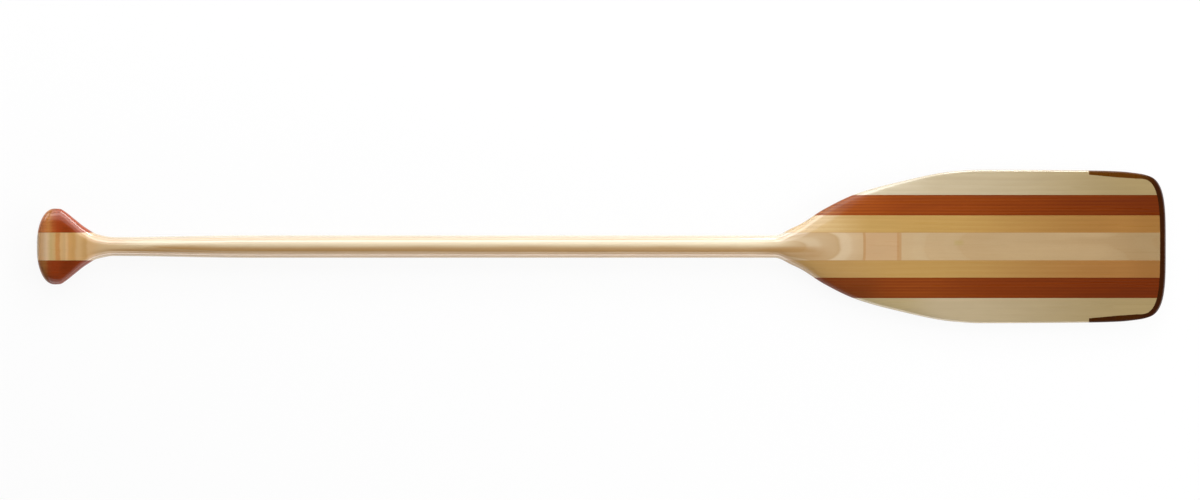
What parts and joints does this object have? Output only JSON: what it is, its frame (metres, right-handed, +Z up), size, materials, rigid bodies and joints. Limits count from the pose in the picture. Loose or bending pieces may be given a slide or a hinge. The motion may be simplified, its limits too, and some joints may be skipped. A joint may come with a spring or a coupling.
{
  "type": "canoe paddle",
  "caption": "Laminated wooden canoe paddle with a palm grip, an oval shaft, a squared blade glued up from strips of contrasting woods and a cast resin guard round the blade's end.",
  "frame": {"origin": "on the surface that the paddle lies on, under the middle of its length and width", "axes": "+X from the palm end of the grip to the tip of the blade, +Y across the blade to the paddle's left, +Z up out of the face of the blade"},
  "size_m": [1.524, 0.2072, 0.029],
  "materials": {
    "pale_wood": "pale fine-grained softwood under clear gloss varnish",
    "warm_pale_wood": "pale wood of a warmer tone under clear gloss varnish",
    "honey_wood": "honey-coloured wood under clear gloss varnish",
    "red_wood": "red-brown wood with fine lengthwise streaks under clear gloss varnish",
    "outer_pale_wood": "pale greyish wood under clear gloss varnish",
    "guard_resin": "dark brown cast resin, polished and varnished with the wood"
  },
  "bodies": {
    "root": {"stick_core": "pale_wood", "stick_veneer_front": "warm_pale_wood", "stick_veneer_back": "warm_pale_wood", "stick_face_front": "pale_wood", "stick_face_back": "pale_wood", "grip_cheek_left": "red_wood", "grip_cheek_right": "red_wood", "inner_strip_left": "honey_wood", "inner_strip_right": "honey_wood", "middle_strip_left": "red_wood", "middle_strip_right": "red_wood", "outer_strip_left": "outer_pale_wood", "outer_strip_right": "outer_pale_wood", "tip_guard": "guard_resin"}
  },
  "joints": []
}
